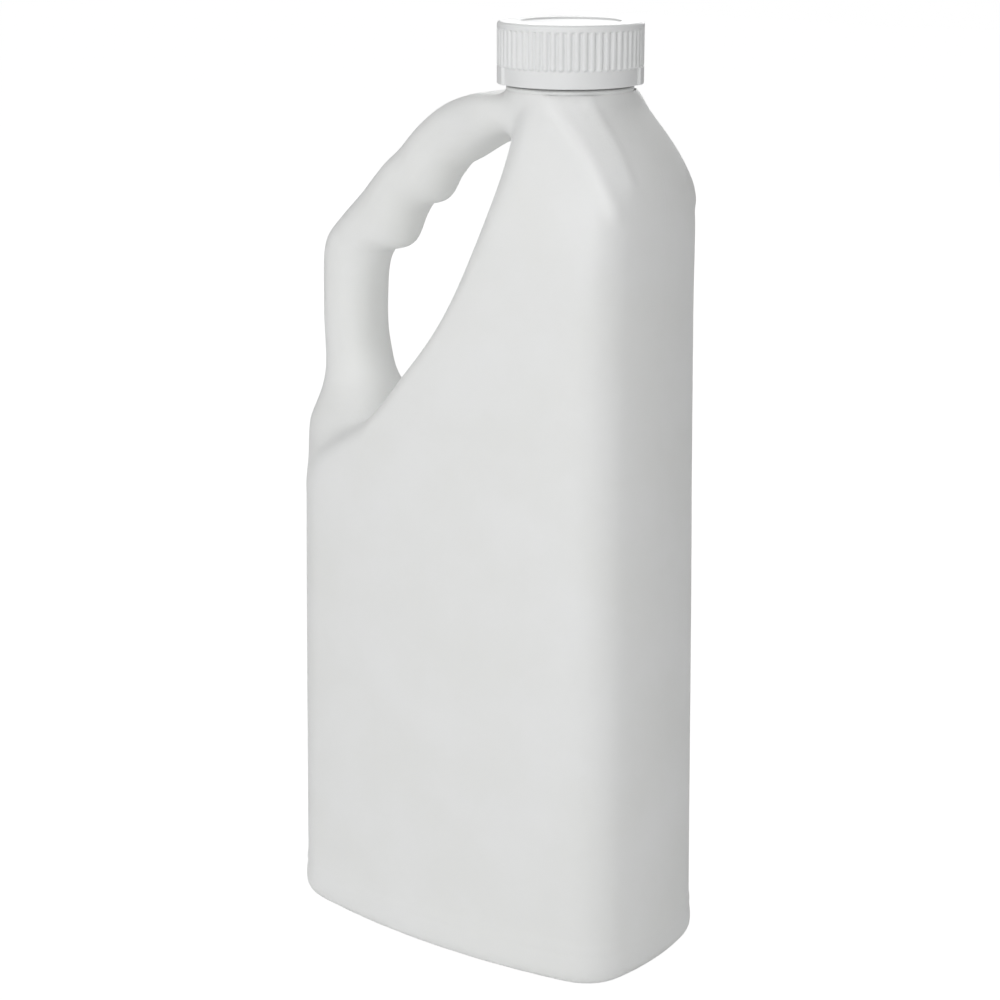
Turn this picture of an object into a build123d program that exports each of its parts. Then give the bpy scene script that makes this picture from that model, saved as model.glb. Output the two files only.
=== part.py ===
from build123d import *
import os
from math import sqrt

# Frame: Z up, the base rests on Z = 0 and the body is centred on the origin.
# The wide faces look along -Y and +Y, the pouring side is +X and the handle is at -X.

# Blown wall
wall = 1.1

# Body in plan
bodyLength = 110.5
bodyDepth = 61.4
wideSag = 6.2
narrowSag = 4.0
neckBowRadius = 40.0
cornerRadius = 13.5

# Base: a bead stands proud of the body, and a push-up leaves a foot ring
beadProud = 0.5
baseFillet = 4.5
footWidth = 8.0
pushUp = 2.4

# Draft of the wide faces, and growth of the corners below the handle
straightTop = 121.3
depthDraft = 1.25
handleCornerGain = 4.4

# Edges of the shoulder
holeEdgeRadius = 9.9
holeEdgeSag = 1.5
pourEdgeRadius = 12.3
pourEdgeSag = 2.5
edgeChangeHeight = 30.0

# Neck and finish
neckX = 23.95
shoulderStart = 190.0
shoulderPower = 1.9
shoulderRollTop = 230.6
shoulderTop = 230.2
collarBottom = 222.0
collarTop = 232.4
collarRadius = 16.1
mouthBottom = 224.0
collarFillet = 0.8
finishHeight = 13.0
finishRadius = 14.75
mouthRadius = 12.0
lipFillet = 0.6

# Thread, with the same pitch on the neck and in the cap
threadPitch = 25.4 / 6
threadTurns = 1.15
threadCrestRadius = 15.95
threadRootWidth = 2.4
threadTipWidth = 1.0
threadTopDrop = 2.7
threadFit = 0.35
threadBite = 0.3

# Cap
capRadius = 18.4
capHeight = 14.8
capWall = 1.2
capRoof = 1.6
capFillet = 0.9
ribCount = 58
ribDepth = 0.6
ribWidth = 1.2
bandHeight = 3.6
bandStep = 0.7
padWidth = 14.0
padTurn = 37.0
topPanelRadius = 12.5
topPanelDepth = 0.4

# Liner
linerThickness = 1.0
linerFit = 0.1
linerSideFit = 0.3

# Handle
gripHalfDepth = 9.4
gripRounding = 0.48

# Side outline of the deep part of the body, in X and Z. Each level joins a point of the
# handle side to a point of the pouring side.
straightLevels = [
    ((-55.3, 10.8), (55.3, 10.8)),
    ((-55.2, 41.0), (54.9, 41.0)),
    ((-55.0, 87.5), (54.4, 87.5)),
    ((-54.7, 119.2), (53.9, straightTop)),
]
shoulderLevels = [
    ((-54.1, 125.2), (53.7, 131.6)),
    ((-51.4, 129.8), (53.6, 140.8)),
    ((-46.0, 133.5), (53.5, 149.1)),
    ((-38.8, 136.8), (53.4, 156.2)),
    ((-30.8, 140.6), (53.3, 163.4)),
    ((-23.4, 145.8), (53.2, 170.6)),
    ((-16.9, 152.4), (53.1, 177.8)),
    ((-10.7, 159.5), (53.1, 185.0)),
    ((-5.0, 166.2), (53.1, 192.2)),
    ((0.9, 175.0), (53.2, 198.4)),
    ((5.5, 183.5), (53.1, 204.6)),
    ((9.4, 192.3), (52.3, 210.7)),
    ((12.3, 200.5), (49.3, 216.9)),
    ((14.4, 209.0), (44.6, 223.1)),
    ((15.2, 218.0), (40.5, 228.4)),
    ((15.5, 224.5), (40.2, 229.7)),
    ((15.8, shoulderTop), (40.0, shoulderTop)),
]
# Soft step from the bead to the body: height and the part of the step that is left
beadProfile = [(0.0, 1.0), (3.0, 1.0), (4.9, 1.0), (7.3, 0.76), (9.3, 0.16), (10.8, 0.0)]

# Side outline of the handle: outer point, inner point and half depth of each section
lowerGrip = [
    ((-55.3, 156.2), (-38.6, 156.2), gripHalfDepth),
    ((-55.3, 162.4), (-39.9, 161.6), gripHalfDepth),
    ((-55.3, 169.6), (-40.0, 169.6), gripHalfDepth),
    ((-55.3, 176.8), (-39.5, 175.8), gripHalfDepth),
    ((-55.3, 182.5), (-38.7, 179.4), gripHalfDepth),
    ((-54.6, 186.8), (-37.2, 182.5), gripHalfDepth),
]
upperGrip = lowerGrip[-1:] + [
    ((-52.2, 190.4), (-35.0, 184.6), gripHalfDepth),
    ((-48.2, 194.7), (-31.5, 185.3), gripHalfDepth),
    ((-43.8, 198.9), (-28.6, 186.7), gripHalfDepth),
    ((-40.3, 202.3), (-26.9, 190.1), gripHalfDepth),
    ((-37.4, 205.1), (-26.0, 193.1), gripHalfDepth),
    ((-34.4, 208.0), (-24.2, 196.3), gripHalfDepth),
    ((-31.9, 210.4), (-21.1, 198.3), gripHalfDepth),
    ((-28.8, 213.3), (-16.9, 199.5), gripHalfDepth),
    ((-25.8, 216.2), (-15.0, 202.4), gripHalfDepth),
    ((-22.4, 219.4), (-13.6, 205.1), gripHalfDepth),
    ((-18.6, 222.4), (-11.4, 207.7), gripHalfDepth),
    ((-14.1, 225.2), (-8.1, 210.3), 9.7),
    ((-9.2, 227.2), (-3.6, 212.9), 10.3),
    ((-4.0, 228.6), (0.6, 215.6), 11.4),
    ((2.1, 229.5), (6.2, 218.4), 12.8),
    ((9.3, 229.8), (13.4, 219.4), 13.8),
    ((17.0, 229.8), (21.0, 219.8), 14.2),
]
# Foot of the handle: height, outer X, inner X, half depth and corner radius of each section
handleFoot = [
    (116.0, -53.2, -22.0, 21.8, 15.5),
    (122.0, -54.3, -22.5, 22.6, 15.5),
    (127.0, -54.5, -23.5, 22.9, 15.4),
    (131.0, -54.6, -25.4, 22.4, 14.4),
    (135.0, -54.8, -28.2, 20.8, 12.8),
    (138.5, -55.1, -31.6, 18.5, 11.2),
    (142.0, -55.2, -33.6, 15.3, 10.2),
    (145.5, -55.2, -35.4, 12.4, 9.4),
    (149.0, -55.3, -36.8, 10.4, 8.7),
    (152.5, -55.3, -37.8, 9.6, 8.3),
    (156.2, -55.3, -38.6, gripHalfDepth, 8.0),
]

# Heights that follow
finishTop = collarTop + finishHeight
capTop = finishTop + linerFit + linerThickness + capRoof
capBottom = capTop - capHeight
capBore = capRadius - ribDepth - capWall


def between(low, high, share):
    share = min(max(share, 0.0), 1.0)
    return low + (high - low) * share


def halfDepth(x, z):
    # Bowed wide face with draft that rolls in to the collar of the neck
    rolled = between(0.0, 1.0, (z - shoulderStart) / (shoulderRollTop - shoulderStart))
    middle = bodyDepth / 2 - depthDraft * z / straightTop
    middle = middle - (middle - collarRadius) * rolled ** shoulderPower
    bodyBow = (bodyLength / 2 - narrowSag) ** 2 / (2 * wideSag)
    bowRadius = between(bodyBow, neckBowRadius, rolled)
    return middle - (x - neckX * rolled) ** 2 / (2 * bowRadius)


def slantedPlane(start, end):
    # Plane across the XZ outline, with its X along the line from start to end
    (x0, z0), (x1, z1) = start, end
    span = sqrt((x1 - x0) ** 2 + (z1 - z0) ** 2)
    along = ((x1 - x0) / span, 0, (z1 - z0) / span)
    middle = ((x0 + x1) / 2, 0, (z0 + z1) / 2)
    return Plane(origin=middle, x_dir=along, z_dir=(-along[2], 0, along[0])), span


def movedIn(outline, inset):
    # Outline that starts straight up, moved square to its run, towards +X there for a positive inset
    moved = [(outline[0][0] + inset, outline[0][1])]
    for before, (x, z), after in zip(outline, outline[1:], outline[2:] + outline[-1:]):
        across, up = after[0] - before[0], after[1] - before[1]
        run = sqrt(across**2 + up**2)
        moved.append((x + inset * up / run, z - inset * across / run))
    return moved


def bodySection(handleSide, pourSide, inset):
    # Bowed rectangle with round corners between two points of the side outline. The inset
    # makes it less deep and its corners smaller.
    (xl, zl), (xr, zr) = handleSide, pourSide
    plane, span = slantedPlane(handleSide, pourSide)
    lifted = (zl - straightTop) / edgeChangeHeight
    shouldered = (zr - shoulderStart) / (shoulderRollTop - shoulderStart)
    leftSag = between(narrowSag, holeEdgeSag, lifted)
    rightSag = between(narrowSag, pourEdgeSag, shouldered)
    grown = between(cornerRadius, cornerRadius + handleCornerGain, zl / straightTop)
    leftRadius = between(grown, holeEdgeRadius, lifted) - inset
    rightRadius = between(cornerRadius, pourEdgeRadius, shouldered) - inset
    half = span / 2
    left, right = leftSag - half, half - rightSag
    leftY = halfDepth(xl + leftSag, zl) - inset
    rightY = halfDepth(xr - rightSag, zr) - inset
    middleX = (left + right) / 2
    middleY = halfDepth((xl + xr) / 2, (zl + zr) / 2) - inset
    with BuildSketch(plane) as section:
        with BuildLine():
            ThreePointArc((left, -leftY), (middleX, -middleY), (right, -rightY))
            ThreePointArc((right, -rightY), (half, 0), (right, rightY))
            ThreePointArc((right, rightY), (middleX, middleY), (left, leftY))
            ThreePointArc((left, leftY), (-half, 0), (left, -leftY))
        make_face()
        fillet(section.vertices().group_by(Axis.X)[0], leftRadius)
        fillet(section.vertices().group_by(Axis.X)[-1], rightRadius)
    return section.sketch


def gripSection(outer, inner, halfY, inset):
    plane, thickness = slantedPlane(outer, inner)
    width, depth = thickness - 2 * inset, 2 * (halfY - inset)
    with BuildSketch(plane) as section:
        RectangleRounded(width, depth, gripRounding * min(width, depth))
    return section.sketch


def footSection(height, outerX, innerX, halfY, radius, inset):
    width, depth = innerX - outerX - 2 * inset, 2 * (halfY - inset)
    plane = Plane(((outerX + innerX) / 2, 0, height))
    with BuildSketch(plane) as section:
        RectangleRounded(width, depth, radius - inset)
    return section.sketch


def planSection(height, inset):
    # Plan of the body just above the bead, at the height of the bead or the base
    (left, _), (right, _) = straightLevels[0]
    return bodySection((left + inset, height), (right - inset, height), inset)


def handleForm(inset):
    with BuildPart() as form:
        loft([footSection(*row, inset) for row in handleFoot])
        loft([gripSection(*row, inset) for row in lowerGrip])
        loft([gripSection(*row, inset) for row in upperGrip])
    return form.part


def bodyForm(inset):
    handleSide, pourSide = zip(*(straightLevels + shoulderLevels))
    levels = list(zip(movedIn(handleSide, inset), movedIn(pourSide, -inset)))
    straightCount = len(straightLevels)
    with BuildPart() as form:
        loft([planSection(max(z, inset), inset - beadProud * part) for z, part in beadProfile])
        fillet(form.faces().sort_by(Axis.Z)[0].edges(), baseFillet - inset)
        loft([bodySection(*level, inset) for level in levels[:straightCount]])
        loft([bodySection(*level, inset) for level in levels[straightCount - 1 :]])
    return form.part


def jugForm(inset):
    # The outside with no inset, the hollow with the wall as inset
    body = bodyForm(inset)
    handle = handleForm(inset)
    with BuildPart() as form:
        add(body)
        add(handle)
    return form.part


def neckDisc(bottom, top, radius, edge=0.0):
    # Round block on the neck axis, with a rounded top edge
    with BuildPart() as disc:
        with BuildSketch(Plane.XY.offset(bottom)):
            with Locations((neckX, 0)):
                Circle(radius)
        extrude(amount=top - bottom)
        if edge:
            fillet(disc.edges().sort_by(Axis.Z)[-1], edge)
    return disc.part


def threadRidge(rootRadius, tipRadius, startHeight):
    # Helical ridge about the neck axis, with its root sunk in to the wall behind it
    side = 1 if tipRadius > rootRadius else -1
    sunk = rootRadius - side * threadBite
    axisPlane = Plane(origin=(neckX, 0, startHeight), x_dir=(1, 0, 0), z_dir=(0, -1, 0))
    with BuildPart() as ridge:
        with BuildLine():
            Helix(threadPitch, threadPitch * threadTurns, rootRadius, center=axisPlane.origin)
        with BuildSketch(axisPlane):
            with BuildLine():
                Polyline(
                    (sunk, -threadRootWidth / 2),
                    (tipRadius, -threadTipWidth / 2),
                    (tipRadius, threadTipWidth / 2),
                    (sunk, threadRootWidth / 2),
                    close=True,
                )
            make_face()
        sweep(is_frenet=True)
    return ridge.part


# Jug: the hollow is the same form drawn one wall smaller, so handle and body share one inside.
# It ends one wall below the top of the shoulder, where the neck stands on it.
neckThreadStart = finishTop - threadTopDrop - threadPitch * threadTurns
neckThread = threadRidge(finishRadius, threadCrestRadius, neckThreadStart)
outsideForm = jugForm(0)

with BuildPart() as hollow:
    add(jugForm(wall))
    split(bisect_by=Plane.XY.offset(shoulderTop - wall), keep=Keep.BOTTOM)

with BuildPart() as neck:
    add(neckDisc(collarBottom, collarTop, collarRadius, collarFillet))
    add(neckDisc(collarTop, finishTop, finishRadius, lipFillet))
    add(neckThread)

with BuildPart() as jug:
    add(outsideForm)
    add(neck.part)
    add(hollow.part, mode=Mode.SUBTRACT)
    add(neckDisc(mouthBottom, finishTop, mouthRadius), mode=Mode.SUBTRACT)
    # The floor rises inside the foot ring
    extrude(planSection(0, footWidth - wall), pushUp + wall)
    extrude(planSection(0, footWidth), pushUp, mode=Mode.SUBTRACT)

# Cap: ribs over a recessed lower band, which has two pads flush with the ribs
ribRootRadius = capRadius - ribDepth
bandRadius = capRadius - bandStep
bandTop = capBottom + bandHeight
capThreadStart = neckThreadStart - threadPitch / 2
capThread = threadRidge(capBore, finishRadius + threadFit, capThreadStart)
bore = neckDisc(capBottom, capTop - capRoof, capBore)
topPanel = neckDisc(capTop - topPanelDepth, capTop, topPanelRadius)
neckAxis = Axis((neckX, 0, 0), (0, 0, 1))

with BuildPart() as capEnvelope:
    with BuildSketch(Plane.XZ) as profile:
        with BuildLine():
            Polyline(
                (neckX, capBottom),
                (neckX + bandRadius, capBottom),
                (neckX + bandRadius, bandTop),
                (neckX + capRadius, bandTop + bandStep),
                (neckX + capRadius, capTop),
                (neckX, capTop),
                close=True,
            )
        make_face()
        fillet(profile.vertices().group_by(Axis.Y)[-1].sort_by(Axis.X)[-1], capFillet)
    revolve(axis=neckAxis)

with BuildPart() as cap:
    with BuildSketch(Plane.XY.offset(capBottom)):
        with Locations((neckX, 0)):
            Circle(ribRootRadius)
            with PolarLocations(ribRootRadius, ribCount):
                Rectangle(2 * ribDepth, ribWidth)
            Circle(capRadius, mode=Mode.INTERSECT)
    extrude(amount=capHeight)
    add(capEnvelope.part, mode=Mode.INTERSECT)
    with BuildSketch(Plane.XY.offset(capBottom)):
        with Locations((neckX, 0)):
            Circle(capRadius)
            Rectangle(2 * capRadius, padWidth, rotation=padTurn, mode=Mode.INTERSECT)
    extrude(amount=bandHeight + bandStep)
    add([bore, topPanel], mode=Mode.SUBTRACT)
    add(capThread)

# Liner: a foam disc held under the roof of the cap
linerBottom = finishTop + linerFit
cap_liner = neckDisc(linerBottom, linerBottom + linerThickness, capBore - linerSideFit)

jug.part.label = "jug"
cap.part.label = "cap"
cap_liner.label = "cap_liner"

os.makedirs("parts", exist_ok=True)
export_step(jug.part, "parts/jug.step")
export_step(cap.part, "parts/cap.step")
export_step(cap_liner, "parts/cap_liner.step")
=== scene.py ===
import math

import bmesh
import bpy
from mathutils import Euler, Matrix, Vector


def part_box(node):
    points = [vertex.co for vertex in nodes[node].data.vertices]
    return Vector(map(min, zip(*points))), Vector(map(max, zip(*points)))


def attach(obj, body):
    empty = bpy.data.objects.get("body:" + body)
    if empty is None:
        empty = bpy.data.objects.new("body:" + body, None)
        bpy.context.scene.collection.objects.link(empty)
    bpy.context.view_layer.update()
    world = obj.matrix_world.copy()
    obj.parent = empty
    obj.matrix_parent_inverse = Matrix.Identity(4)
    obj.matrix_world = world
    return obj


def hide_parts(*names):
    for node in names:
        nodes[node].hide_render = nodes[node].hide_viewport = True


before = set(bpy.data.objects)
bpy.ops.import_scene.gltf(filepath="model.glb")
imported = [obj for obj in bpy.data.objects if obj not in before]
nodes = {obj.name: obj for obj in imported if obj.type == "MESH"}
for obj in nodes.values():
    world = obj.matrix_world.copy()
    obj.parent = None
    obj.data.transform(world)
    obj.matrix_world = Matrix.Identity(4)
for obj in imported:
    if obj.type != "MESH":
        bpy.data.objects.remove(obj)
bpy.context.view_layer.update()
print("frame loaded:", ", ".join(sorted(nodes)))

mm = 0.001


def greyLevel(level):
    # a grey or colour written as 0 to 255, as a linear colour
    levels = level if isinstance(level, tuple) else (level,) * 3
    return (*[((v / 255 + 0.055) / 1.055) ** 2.4 for v in levels], 1.0)


def addObject(name, data):
    made = bpy.data.objects.new(name, data)
    bpy.context.scene.collection.objects.link(made)
    return made


def softStep(low, high, value):
    share = min(max((value - low) / (high - low), 0.0), 1.0)
    return share * share * (3 - 2 * share)


# stage: white floor and room, five soft boxes, camera

stage = {
    "floorSize": 6.0,
    "floorGrey": 248,
    "floorGlow": 0.965,  # what the camera adds to the lit floor, so that it ends up white
    "floorShade": 0.12,  # how much of the floor's own light and shadow the camera sees
    "roomGrey": 0.31,  # light of the room on the object
    "cameraPlace": (0.36782, -0.48485, 0.29107),
    "cameraPitch": 15.679,
    "cameraTurn": 37.041,
    "lens": 84.554,
}

# name: place, aimed at, width, height, watts
lamps = {
    "left_softbox": ((-0.85, -0.80, 0.70), (0, 0, 0.12), 0.9, 0.9, 1.5),
    "front_softbox": ((0.0, -1.20, 0.50), (0, 0, 0.12), 0.9, 0.9, 2.3),
    "camera_softbox": ((0.65, -1.0, 0.55), (0, 0, 0.12), 0.8, 0.8, 4.2),
    "top_softbox": ((0.05, -0.25, 1.20), (0, 0, 0.12), 0.7, 0.7, 1.5),
    "back_softbox": ((-0.50, 1.20, 0.70), (0, 0, 0.12), 0.9, 0.9, 5.0),
}


def buildFloor():
    half = stage["floorSize"] / 2
    mesh = bpy.data.meshes.new("floor")
    mesh.from_pydata([(-half, -half, 0), (half, -half, 0), (half, half, 0), (-half, half, 0)], [], [(0, 1, 2, 3)])
    floor = addObject("floor", mesh)
    material = bpy.data.materials.new("white_paper")
    material.use_nodes = True
    tree = material.node_tree
    tree.nodes.clear()
    output = tree.nodes.new("ShaderNodeOutputMaterial")
    rays = tree.nodes.new("ShaderNodeLightPath")
    paper = tree.nodes.new("ShaderNodeBsdfDiffuse")
    paper.inputs["Color"].default_value = greyLevel(stage["floorGrey"])
    seen = tree.nodes.new("ShaderNodeBsdfDiffuse")
    shade = stage["floorShade"]
    seen.inputs["Color"].default_value = (shade, shade, shade, 1)
    glow = tree.nodes.new("ShaderNodeEmission")
    glow.inputs["Strength"].default_value = stage["floorGlow"]
    both = tree.nodes.new("ShaderNodeAddShader")
    mix = tree.nodes.new("ShaderNodeMixShader")
    tree.links.new(seen.outputs[0], both.inputs[0])
    tree.links.new(glow.outputs[0], both.inputs[1])
    tree.links.new(rays.outputs["Is Camera Ray"], mix.inputs[0])
    tree.links.new(paper.outputs[0], mix.inputs[1])
    tree.links.new(both.outputs[0], mix.inputs[2])
    tree.links.new(mix.outputs[0], output.inputs["Surface"])
    mesh.materials.append(material)


def buildRoom():
    world = bpy.data.worlds.new("white_room")
    bpy.context.scene.world = world
    world.use_nodes = True
    tree = world.node_tree
    tree.nodes.clear()
    output = tree.nodes.new("ShaderNodeOutputWorld")
    background = tree.nodes.new("ShaderNodeBackground")
    rays = tree.nodes.new("ShaderNodeLightPath")
    mix = tree.nodes.new("ShaderNodeMix")
    mix.data_type = "RGBA"
    level = stage["roomGrey"]
    mix.inputs["A"].default_value = (level, level, level, 1)
    mix.inputs["B"].default_value = (1, 1, 1, 1)
    tree.links.new(rays.outputs["Is Camera Ray"], mix.inputs["Factor"])
    tree.links.new(mix.outputs["Result"], background.inputs["Color"])
    tree.links.new(background.outputs[0], output.inputs["Surface"])


def buildLamps():
    for name, (place, target, width, height, watts) in lamps.items():
        light = bpy.data.lights.new(name, "AREA")
        light.shape = "RECTANGLE"
        light.size, light.size_y = width, height
        light.energy = watts
        lamp = addObject(name, light)
        lamp.location = place
        lamp.rotation_euler = (Vector(target) - Vector(place)).to_track_quat("-Z", "Y").to_euler()


def buildCamera():
    data = bpy.data.cameras.new("camera")
    data.lens = stage["lens"]
    data.sensor_width = 36.0
    data.clip_start, data.clip_end = 0.01, 50
    camera = addObject("camera", data)
    camera.location = stage["cameraPlace"]
    camera.rotation_euler = Euler((math.radians(90 - stage["cameraPitch"]), 0, math.radians(stage["cameraTurn"])))
    bpy.context.scene.camera = camera


bpy.context.scene.view_settings.view_transform = "Standard"
buildFloor()
buildRoom()
buildLamps()
buildCamera()
print("stage built")


# jug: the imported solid's outside, remeshed so that handle and body run into each other as blown
# plastic does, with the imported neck, bore and inside joined to it

jug = {
    "mouthRadius": 12.0 * mm,
    "mouthBottom": 224.0 * mm,
    "boreTolerance": 0.08 * mm,
    "wallOverlap": 0.5 * mm,
    "weldPacked": 0.001 * mm,
    "weldSkins": 0.002 * mm,
    "neckCut": 231.2 * mm,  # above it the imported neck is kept
    "cell": 1.12 * mm,
    "smoothPasses": 8,
    "sharpAngle": 38.0,
    # where the foot of the handle runs into the wide faces, on either side of Y = 0
    "ledge": [(-27 * mm, 21 * mm, 141 * mm), (-40 * mm, 23 * mm, 134 * mm), (-52 * mm, 20 * mm, 129 * mm)],
    "ledgeReach": 10 * mm,
    "ledgePasses": 40,
    # ridges of the shoulder, on either side of Y = 0, each with its height and half width
    "ridges": [
        (
            [(29 * mm, 15.8 * mm, 230 * mm), (42.8 * mm, 18 * mm, 216.8 * mm), (50.2 * mm, 17.5 * mm, 204 * mm)],
            0.5 * mm,
            3.4 * mm,
        ),
        (
            [(37 * mm, 10.7 * mm, 230 * mm), (44.5 * mm, 11.3 * mm, 221 * mm), (50.2 * mm, 11.8 * mm, 211 * mm)],
            0.3 * mm,
            2.8 * mm,
        ),
    ],
    "ridgesAbove": 195 * mm,  # no ridge reaches lower
    # the rim round the base stands out a little
    "rimHeight": 11.0 * mm,
    "rimHalf": 2.0 * mm,
    "rimRise": 0.2 * mm,
}

capLow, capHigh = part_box("cap")
neckX = (capLow.x + capHigh.x) / 2


def fromNeck(point):
    return math.hypot(point.x - neckX, point.y)


def linkedFaces(bm):
    # the mesh's loose shells, as lists of faces
    found, shells = set(), []
    for start in bm.faces:
        if start in found:
            continue
        found.add(start)
        shell, waiting = [], [start]
        while waiting:
            face = waiting.pop()
            shell.append(face)
            for edge in face.edges:
                for other in edge.link_faces:
                    if other not in found:
                        found.add(other)
                        waiting.append(other)
        shells.append(shell)
    return shells


def isMouthWall(face):
    points = [v.co for v in face.verts]
    onBore = all(abs(fromNeck(p) - jug["mouthRadius"]) < jug["boreTolerance"] for p in points)
    return onBore and min(p.z for p in points) > jug["mouthBottom"] - jug["wallOverlap"]


def packedJug():
    bm = bmesh.new()
    bm.from_mesh(nodes["jug"].data)
    bmesh.ops.remove_doubles(bm, verts=bm.verts, dist=jug["weldPacked"])
    return bm


def meshOf(bm, name):
    mesh = bpy.data.meshes.new(name)
    bm.to_mesh(mesh)
    bm.free()
    return mesh


def onlyShell(bm, outside):
    # without the wall of its mouth the jug falls into an outside, which reaches up to the lip, and an inside
    bmesh.ops.delete(bm, geom=[f for f in bm.faces if isMouthWall(f)], context="FACES")
    shells = sorted(linkedFaces(bm), key=lambda shell: -max(v.co.z for f in shell for v in f.verts))
    dropped = shells[1:] if outside else shells[:1]
    bmesh.ops.delete(bm, geom=[f for shell in dropped for f in shell], context="FACES")
    return bm


def cutAtNeck(bm, keepAbove):
    geometry = bm.verts[:] + bm.edges[:] + bm.faces[:]
    plane = dict(plane_co=(0, 0, jug["neckCut"]), plane_no=(0, 0, 1))
    bmesh.ops.bisect_plane(bm, geom=geometry, clear_inner=keepAbove, clear_outer=not keepAbove, **plane)
    return bm


def toLine(point, line):
    # distance from a line of points, or from its mirror image across Y = 0
    here = Vector((point.x, abs(point.y), point.z))
    shortest = math.inf
    for start, end in zip(line, line[1:]):
        start, end = Vector(start), Vector(end)
        along = end - start
        share = min(max((here - start).dot(along) / along.length_squared, 0.0), 1.0)
        shortest = min(shortest, (here - start - along * share).length)
    return shortest


def softenLedge(bm):
    # smoothed most on the line itself and less towards the reach, so that no edge is left
    near = [(toLine(v.co, jug["ledge"]), v) for v in bm.verts]
    for count in range(jug["ledgePasses"]):
        reach = jug["ledgeReach"] * (1 - count / jug["ledgePasses"])
        verts = [v for away, v in near if away < reach]
        bmesh.ops.smooth_vert(bm, verts=verts, factor=0.5, use_axis_x=True, use_axis_y=True, use_axis_z=True)


def raiseRidges(bm):
    bm.normal_update()
    moves = []
    for v in bm.verts:
        rise = jug["rimRise"] * (1 - softStep(0, jug["rimHalf"], abs(v.co.z - jug["rimHeight"])))
        if v.co.x > 0 and v.co.z > jug["ridgesAbove"]:
            for line, height, half in jug["ridges"]:
                rise += height * (1 - softStep(0, half, toLine(v.co, line)))
        moves.append((v, v.normal * rise))
    for v, move in moves:
        v.co += move


def remeshedOutside():
    bm = onlyShell(packedJug(), outside=True)
    bmesh.ops.holes_fill(bm, edges=[e for e in bm.edges if e.is_boundary], sides=0)
    rough = addObject("jug_rough", meshOf(bm, "jug_rough"))
    remesh = rough.modifiers.new("remesh", "REMESH")
    remesh.mode = "VOXEL"
    remesh.voxel_size = jug["cell"]
    smooth = rough.modifiers.new("smooth", "SMOOTH")
    smooth.factor = 0.5
    smooth.iterations = jug["smoothPasses"]
    bm = bmesh.new()
    bm.from_object(rough, bpy.context.evaluated_depsgraph_get())
    bpy.data.objects.remove(rough)
    softenLedge(bm)
    raiseRidges(bm)
    return cutAtNeck(bm, keepAbove=False)


def buildJug():
    walls = packedJug()
    bmesh.ops.delete(walls, geom=[f for f in walls.faces if not isMouthWall(f)], context="FACES")
    parts = [
        meshOf(remeshedOutside(), "outside"),
        meshOf(cutAtNeck(onlyShell(packedJug(), outside=True), keepAbove=True), "neck"),
        meshOf(walls, "bore"),
        meshOf(onlyShell(packedJug(), outside=False), "inside"),
    ]
    print("jug skins:", ", ".join(part.name + " " + str(len(part.polygons)) for part in parts))
    bm = bmesh.new()
    for part in parts:
        bm.from_mesh(part)
    bmesh.ops.remove_doubles(bm, verts=bm.verts, dist=jug["weldSkins"])
    mesh = meshOf(bm, "jug_shell")
    mesh.shade_smooth()
    mesh.set_sharp_from_angle(angle=math.radians(jug["sharpAngle"]))
    return addObject("jug_shell", mesh)


jugShell = buildJug()
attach(jugShell, "jug")
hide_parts("jug")
print("jug built:", len(jugShell.data.polygons), "faces")


# cap: one skin turned about the neck, from the roof inside down the thread, round the rim and over the ribs

cap = {
    "bore": 16.6 * mm,
    "roof": 1.6 * mm,
    "threadTip": 15.1 * mm,
    "threadStart": 235.715 * mm,
    "threadPitch": 25.4 / 6 * mm,
    "threadTurns": 1.15,
    "threadRootWidth": 2.4 * mm,
    "threadTipWidth": 1.0 * mm,
    "threadFade": 12.0,  # degrees over which the thread runs out at its ends
    "ribs": 58,
    "columnsPerRib": 10,
    "ribDepth": 0.6 * mm,
    "ribFlat": 0.34 * mm,  # half width of a rib's crest
    "ribFoot": 0.86 * mm,  # half width where it meets the wall
    "drop": 0.55 * mm,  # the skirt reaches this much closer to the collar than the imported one
    "band": 4.1 * mm,
    "bandStep": 0.7 * mm,
    "bandEdge": 0.25 * mm,
    "padWidth": 14.0 * mm,
    "padTurn": 37.0,
    "padEdge": 0.5 * mm,
    "rim": 1.5 * mm,  # plain ring over the ribs
    "fillet": 0.9 * mm,
    "panelRadius": 12.5 * mm,
    "panelDepth": 0.4 * mm,
    "sharpAngle": 50.0,
}
cap["bottom"], cap["top"] = capLow.z - cap["drop"], capHigh.z
cap["radius"] = (capHigh.x - capLow.x) / 2


def threadShare(turn, height):
    # how much of the thread's depth stands at this place, 0 to 1
    share = 0.0
    flank = (cap["threadRootWidth"] - cap["threadTipWidth"]) / 2
    for lap in range(math.ceil(cap["threadTurns"])):
        turns = lap + turn / (2 * math.pi)
        middle = cap["threadStart"] + cap["threadPitch"] * turns
        ends = min(turns, cap["threadTurns"] - turns) * 360 / cap["threadFade"]
        across = (cap["threadRootWidth"] / 2 - abs(height - middle)) / flank
        share = max(share, min(max(min(across, ends), 0.0), 1.0))
    return share


def ribShare(turn, height):
    # ribs with round lower ends that run into the plain ring at the top
    pitch = 2 * math.pi / cap["ribs"]
    aside = ((turn / pitch + 0.5) % 1 - 0.5) * pitch * cap["radius"]
    foot = cap["bottom"] + cap["band"] + cap["ribFoot"]
    away = math.hypot(aside, max(foot - height, 0.0))
    rib = 1 - softStep(cap["ribFlat"], cap["ribFoot"], away)
    ring = softStep(cap["top"] - cap["rim"] - cap["ribDepth"], cap["top"] - cap["rim"], height)
    return max(rib, ring)


def padShare(turn, height):
    aside = abs(math.sin(turn - math.radians(cap["padTurn"]))) * cap["radius"]
    side = 1 - softStep(cap["padWidth"] / 2 - cap["padEdge"], cap["padWidth"] / 2, aside)
    top = cap["bottom"] + cap["band"] + cap["bandStep"]
    return side * (1 - softStep(top - cap["padEdge"], top, height))


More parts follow.
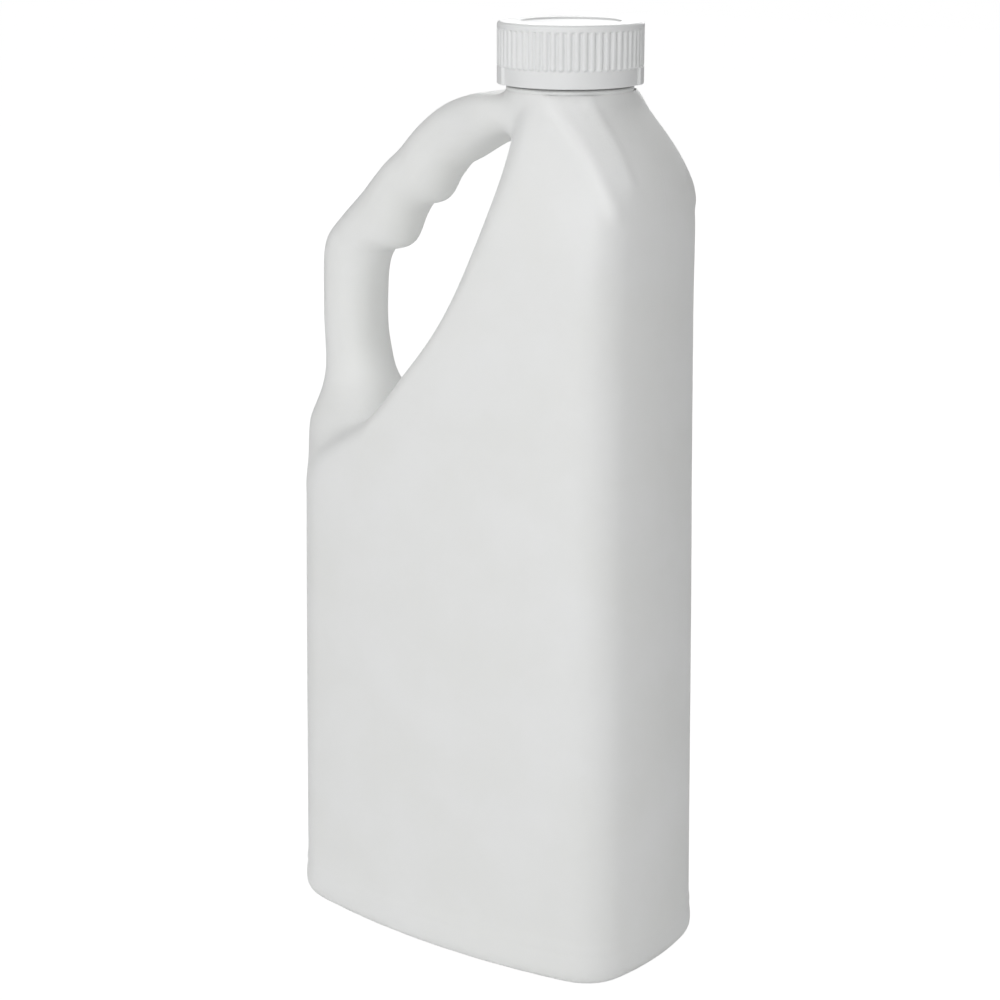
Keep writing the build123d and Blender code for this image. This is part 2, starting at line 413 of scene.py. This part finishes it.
def capWall(turn, height):
    rise = cap["bandStep"] * padShare(turn, height)
    bandRadius = cap["radius"] - cap["bandStep"]
    rootRadius = cap["radius"] - cap["ribDepth"]
    over = softStep(cap["bottom"] + cap["band"], cap["bottom"] + cap["band"] + cap["bandStep"], height)
    wall = bandRadius + (rootRadius - bandRadius) * over
    wall = max(wall + cap["ribDepth"] * ribShare(turn, height), bandRadius + rise)
    low = max(cap["bandEdge"] - (height - cap["bottom"]), 0.0)
    high = max(cap["fillet"] - (cap["top"] - height), 0.0)
    wall -= cap["bandEdge"] - math.sqrt(max(cap["bandEdge"] ** 2 - low**2, 0.0))
    return wall - (cap["fillet"] - math.sqrt(max(cap["fillet"] ** 2 - high**2, 0.0)))


def steps(low, high, size):
    count = max(round((high - low) / size), 1)
    return [low + (high - low) * i / count for i in range(count + 1)]


def capRows():
    # each row gives a radius, or the name of the wall it lies on, and a height
    roofUnder = cap["top"] - cap["roof"]
    ribStart = cap["bottom"] + cap["band"] - 0.2 * mm
    ringStart = cap["top"] - cap["rim"] - cap["ribDepth"] - 0.2 * mm
    filletStart = cap["top"] - cap["fillet"]
    rows = [(r * mm, roofUnder) for r in (0.4, 4.0, 8.0, 12.0, 15.0)]
    rows += [("bore", z) for z in reversed(steps(cap["bottom"], roofUnder, 0.28 * mm))]
    rows += [("wall", cap["bottom"] + cap["bandEdge"] * s) for s in (0.0, 0.15, 0.4, 0.7, 1.0)]
    rows += [("wall", z) for z in steps(cap["bottom"] + cap["bandEdge"], ribStart, 0.6 * mm)[1:]]
    rows += [("wall", z) for z in steps(ribStart, ribStart + 1.9 * mm, 0.16 * mm)[1:]]
    rows += [("wall", z) for z in steps(ribStart + 1.9 * mm, ringStart, 0.9 * mm)[1:]]
    rows += [("wall", z) for z in steps(ringStart, filletStart, 0.16 * mm)[1:]]
    rows += [("wall", filletStart + cap["fillet"] * math.sin(math.radians(a))) for a in (15, 30, 45, 60, 75, 90)]
    edge, depth = cap["panelRadius"], cap["panelDepth"]
    rows += [(edge + s * mm, cap["top"]) for s in (4.0, 2.0, 0.6, 0.25)]
    rows += [(edge + 0.1 * mm, cap["top"] - 0.06 * mm), (edge, cap["top"] - depth / 2)]
    rows += [(edge - 0.1 * mm, cap["top"] - depth + 0.06 * mm)]
    rows += [(edge - s * mm, cap["top"] - depth) for s in (0.3, 1.0, 4.0, 8.0, 12.1)]
    return rows


def buildCap():
    columns = cap["ribs"] * cap["columnsPerRib"]
    turns = [2 * math.pi * c / columns for c in range(columns)]
    bm = bmesh.new()
    rings = []
    for across, height in capRows():
        ring = []
        for turn in turns:
            radius = across
            if across == "bore":
                radius = cap["bore"] - (cap["bore"] - cap["threadTip"]) * threadShare(turn, height)
            if across == "wall":
                radius = capWall(turn, height)
            ring.append(bm.verts.new((neckX + radius * math.cos(turn), radius * math.sin(turn), height)))
        rings.append(ring)
    for low, high in zip(rings, rings[1:]):
        for c in range(columns):
            after = (c + 1) % columns
            bm.faces.new((low[c], low[after], high[after], high[c]))
    bm.faces.new(rings[0])
    bm.faces.new(rings[-1])
    bmesh.ops.recalc_face_normals(bm, faces=bm.faces)
    mesh = meshOf(bm, "cap_shell")
    mesh.shade_smooth()
    mesh.set_sharp_from_angle(angle=math.radians(cap["sharpAngle"]))
    return addObject("cap_shell", mesh)


capShell = buildCap()
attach(capShell, "cap")
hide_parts("cap")
print("cap built:", len(capShell.data.polygons), "faces")


# materials: shared effects as node groups, shaders in each material

def newGroup(name, inputs, outputs):
    group = bpy.data.node_groups.new(name, "ShaderNodeTree")
    for socket, value in inputs.items():
        made = group.interface.new_socket(name=socket, in_out="INPUT", socket_type="NodeSocketFloat")
        made.default_value = value
    for socket in outputs:
        group.interface.new_socket(name=socket, in_out="OUTPUT", socket_type="NodeSocketFloat")
    return group, group.nodes.new("NodeGroupInput"), group.nodes.new("NodeGroupOutput")


def mathNode(tree, operation, first, second=None, third=None):
    node = tree.nodes.new("ShaderNodeMath")
    node.operation = operation
    for socket, value in zip(node.inputs, (first, second, third)):
        if isinstance(value, (int, float)):
            socket.default_value = value
        elif value is not None:
            tree.links.new(value, socket)
    return node.outputs[0]


def rangeNode(tree, value, low, high, toLow=0.0, toHigh=1.0):
    node = tree.nodes.new("ShaderNodeMapRange")
    node.interpolation_type = "SMOOTHSTEP"
    tree.links.new(value, node.inputs["Value"])
    for socket, number in (("From Min", low), ("From Max", high), ("To Min", toLow), ("To Max", toHigh)):
        node.inputs[socket].default_value = number
    return node.outputs["Result"]


def noiseNode(tree, place, scale, detail, roughness=0.5):
    node = tree.nodes.new("ShaderNodeTexNoise")
    tree.links.new(place, node.inputs["Vector"])
    if isinstance(scale, (int, float)):
        node.inputs["Scale"].default_value = scale
    else:
        tree.links.new(scale, node.inputs["Scale"])
    node.inputs["Detail"].default_value = detail
    node.inputs["Roughness"].default_value = roughness
    return node.outputs["Fac"]


def objectPlace(tree):
    return tree.nodes.new("ShaderNodeTexCoord").outputs["Object"]


def buildSkinGroup():
    # skin that a sandblasted mould leaves: fine grain on soft ripples, and a slow mottling
    group, given, out = newGroup("mould_skin", {"Grain Scale": 2400.0, "Ripple Scale": 160.0}, ["Height", "Mottle"])
    place = objectPlace(group)
    grain = noiseNode(group, place, given.outputs["Grain Scale"], 2.0, 0.6)
    ripple = noiseNode(group, place, given.outputs["Ripple Scale"], 1.0)
    fine = mathNode(group, "MULTIPLY", grain, 0.5)
    group.links.new(mathNode(group, "MULTIPLY_ADD", ripple, 1.6, fine), out.inputs["Height"])
    group.links.new(rangeNode(group, noiseNode(group, place, 38.0, 4.0), 0.3, 0.7), out.inputs["Mottle"])
    return group


def buildRubGroup():
    # rub marks of handling: thin streaks in broken patches
    group, given, out = newGroup("rub_marks", {"Amount": 0.5}, ["Mask"])
    place = objectPlace(group)
    stretch = group.nodes.new("ShaderNodeMapping")
    stretch.inputs["Rotation"].default_value = (0.3, 0.9, 0.4)
    stretch.inputs["Scale"].default_value = (1.0, 1.0, 0.06)
    group.links.new(place, stretch.inputs["Vector"])
    streak = rangeNode(group, noiseNode(group, stretch.outputs["Vector"], 900.0, 3.0, 0.6), 0.60, 0.68)
    patch = rangeNode(group, noiseNode(group, place, 26.0, 2.0), 0.52, 0.68)
    marks = mathNode(group, "MULTIPLY", streak, patch)
    group.links.new(mathNode(group, "MULTIPLY", marks, given.outputs["Amount"]), out.inputs["Mask"])
    return group


def buildDustGroup():
    # thin dust that settles where the surface looks up
    group, given, out = newGroup("settled_dust", {"Amount": 0.3}, ["Mask"])
    split = group.nodes.new("ShaderNodeSeparateXYZ")
    group.links.new(group.nodes.new("ShaderNodeNewGeometry").outputs["Normal"], split.inputs[0])
    level = rangeNode(group, split.outputs["Z"], 0.35, 1.0)
    specks = rangeNode(group, noiseNode(group, objectPlace(group), 1300.0, 3.0, 0.7), 0.5, 0.72)
    settled = mathNode(group, "MULTIPLY", level, specks)
    group.links.new(mathNode(group, "MULTIPLY", settled, given.outputs["Amount"]), out.inputs["Mask"])
    return group


skinGroup, rubGroup, dustGroup = buildSkinGroup(), buildRubGroup(), buildDustGroup()


def placeGroup(tree, group, **values):
    node = tree.nodes.new("ShaderNodeGroup")
    node.node_tree = group
    for socket, value in values.items():
        node.inputs[socket.replace("_", " ")].default_value = value
    return node


def mixColours(tree, first, second, share):
    node = tree.nodes.new("ShaderNodeMix")
    node.data_type = "RGBA"
    for socket, value in (("A", first), ("B", second)):
        if isinstance(value, tuple):
            node.inputs[socket].default_value = value
        else:
            tree.links.new(value, node.inputs[socket])
    tree.links.new(share, node.inputs["Factor"])
    return node.outputs["Result"]


def newPlastic(name, finish):
    # material, tree, shader and the height of the effects that all three plastics share
    material = bpy.data.materials.new(name)
    material.use_nodes = True
    tree = material.node_tree
    shader = tree.nodes["Principled BSDF"]
    shader.inputs["IOR"].default_value = finish["ior"]
    shader.inputs["Specular IOR Level"].default_value = finish["specular"]
    shader.inputs["Subsurface Weight"].default_value = finish["through"]
    shader.inputs["Subsurface Radius"].default_value = (1.0, 1.0, 0.96)
    shader.inputs["Subsurface Scale"].default_value = finish["throughDepth"]
    skin = placeGroup(tree, skinGroup, Grain_Scale=finish["grain"], Ripple_Scale=finish["ripple"])
    rub = placeGroup(tree, rubGroup, Amount=finish["rub"])
    dust = placeGroup(tree, dustGroup, Amount=finish["dust"])
    colour = mixColours(tree, greyLevel(finish["colour"]), greyLevel(finish["shade"]), skin.outputs["Mottle"])
    colour = mixColours(tree, colour, greyLevel(finish["dustColour"]), dust.outputs["Mask"])
    tree.links.new(colour, shader.inputs["Base Color"])
    low, high = finish["roughness"]
    rough = rangeNode(tree, skin.outputs["Mottle"], 0.0, 1.0, low, high)
    rough = mathNode(tree, "MULTIPLY_ADD", rub.outputs["Mask"], finish["rubRoughness"], rough)
    rough = mathNode(tree, "MULTIPLY_ADD", dust.outputs["Mask"], 0.2, rough)
    tree.links.new(rough, shader.inputs["Roughness"])
    height = mathNode(tree, "MULTIPLY_ADD", rub.outputs["Mask"], -0.6, skin.outputs["Height"])
    return material, tree, shader, height


def bumpInto(tree, shader, height, depth):
    bump = tree.nodes.new("ShaderNodeBump")
    bump.inputs["Distance"].default_value = depth
    tree.links.new(height, bump.inputs["Height"])
    tree.links.new(bump.outputs["Normal"], shader.inputs["Normal"])


blown = {
    "colour": (244, 245, 244),
    "shade": (241, 242, 240),
    "dustColour": (226, 225, 220),
    "roughness": (0.38, 0.45),
    "rubRoughness": 0.12,
    "ior": 1.52,
    "specular": 0.5,
    "grain": 2400.0,
    "ripple": 140.0,
    "rub": 0.5,
    "dust": 0.25,
    "relief": 0.016 * mm,
    "through": 0.25,  # share of the light that passes into the wall
    "throughDepth": 3.0 * mm,
    "seamHalf": 0.16 * mm,  # half width of the line where the two halves of the mould met
    "seamHeight": 2.2,
    "pinchHalf": 0.7 * mm,  # the same under the base, where the tube was pinched off
    "pinchTop": 3.2 * mm,
}


def blownPlastic():
    material, tree, shader, height = newPlastic("blown_polyethylene", blown)
    split = tree.nodes.new("ShaderNodeSeparateXYZ")
    tree.links.new(objectPlace(tree), split.inputs[0])
    aside = mathNode(tree, "ABSOLUTE", split.outputs["Y"])
    seam = rangeNode(tree, aside, 0.0, blown["seamHalf"], 1.0, 0.0)
    under = rangeNode(tree, split.outputs["Z"], blown["pinchTop"] - 0.3 * mm, blown["pinchTop"], 1.0, 0.0)
    pinch = mathNode(tree, "MULTIPLY", rangeNode(tree, aside, 0.0, blown["pinchHalf"], 1.0, 0.0), under)
    ridge = mathNode(tree, "MAXIMUM", seam, mathNode(tree, "MULTIPLY", pinch, 4.0))
    bumpInto(tree, shader, mathNode(tree, "MULTIPLY_ADD", ridge, blown["seamHeight"], height), blown["relief"])
    return material


moulded = {
    "colour": (236, 237, 237),
    "shade": (233, 234, 234),
    "dustColour": (214, 212, 206),
    "roughness": (0.30, 0.37),
    "rubRoughness": 0.15,
    "ior": 1.49,
    "specular": 0.5,
    "grain": 3200.0,
    "ripple": 300.0,
    "rub": 0.6,
    "dust": 0.3,
    "relief": 0.006 * mm,
    "through": 0.15,
    "throughDepth": 1.0 * mm,
    "gateRadius": 1.1 * mm,  # small rough spot in the middle of the top, where the plastic came in
}


def mouldedPlastic():
    material, tree, shader, height = newPlastic("moulded_polypropylene", moulded)
    toAxis = tree.nodes.new("ShaderNodeVectorMath")
    toAxis.operation = "SUBTRACT"
    toAxis.inputs[1].default_value = (neckX, 0, capHigh.z)
    tree.links.new(objectPlace(tree), toAxis.inputs[0])
    length = tree.nodes.new("ShaderNodeVectorMath")
    length.operation = "LENGTH"
    tree.links.new(toAxis.outputs[0], length.inputs[0])
    gate = rangeNode(tree, length.outputs["Value"], moulded["gateRadius"] * 0.8, moulded["gateRadius"], 1.0, 0.0)
    bumpInto(tree, shader, mathNode(tree, "MULTIPLY_ADD", gate, 6.0, height), moulded["relief"])
    return material


foamed = {
    "colour": (234, 233, 228),
    "shade": (226, 225, 219),
    "dustColour": (214, 212, 206),
    "roughness": (0.62, 0.74),
    "rubRoughness": 0.05,
    "ior": 1.5,
    "specular": 0.35,
    "grain": 5200.0,
    "ripple": 400.0,
    "rub": 0.2,
    "dust": 0.1,
    "relief": 0.03 * mm,
    "through": 0.3,
    "throughDepth": 1.0 * mm,
    "cells": 2100.0,  # foam cells per metre
}


def foamedPlastic():
    material, tree, shader, height = newPlastic("foamed_liner", foamed)
    cells = tree.nodes.new("ShaderNodeTexVoronoi")
    cells.inputs["Scale"].default_value = foamed["cells"]
    tree.links.new(objectPlace(tree), cells.inputs["Vector"])
    pores = rangeNode(tree, cells.outputs["Distance"], 0.1, 0.6)
    bumpInto(tree, shader, mathNode(tree, "ADD", height, pores), foamed["relief"])
    return material


plastics = {"jug": blownPlastic(), "cap": mouldedPlastic(), "cap_liner": foamedPlastic()}
jugShell.data.materials.append(plastics["jug"])
capShell.data.materials.append(plastics["cap"])
for name, node in nodes.items():
    node.data.materials.clear()
    node.data.materials.append(plastics[name])
print("materials built:", ", ".join(m.name for m in plastics.values()))

bpy.context.view_layer.update()
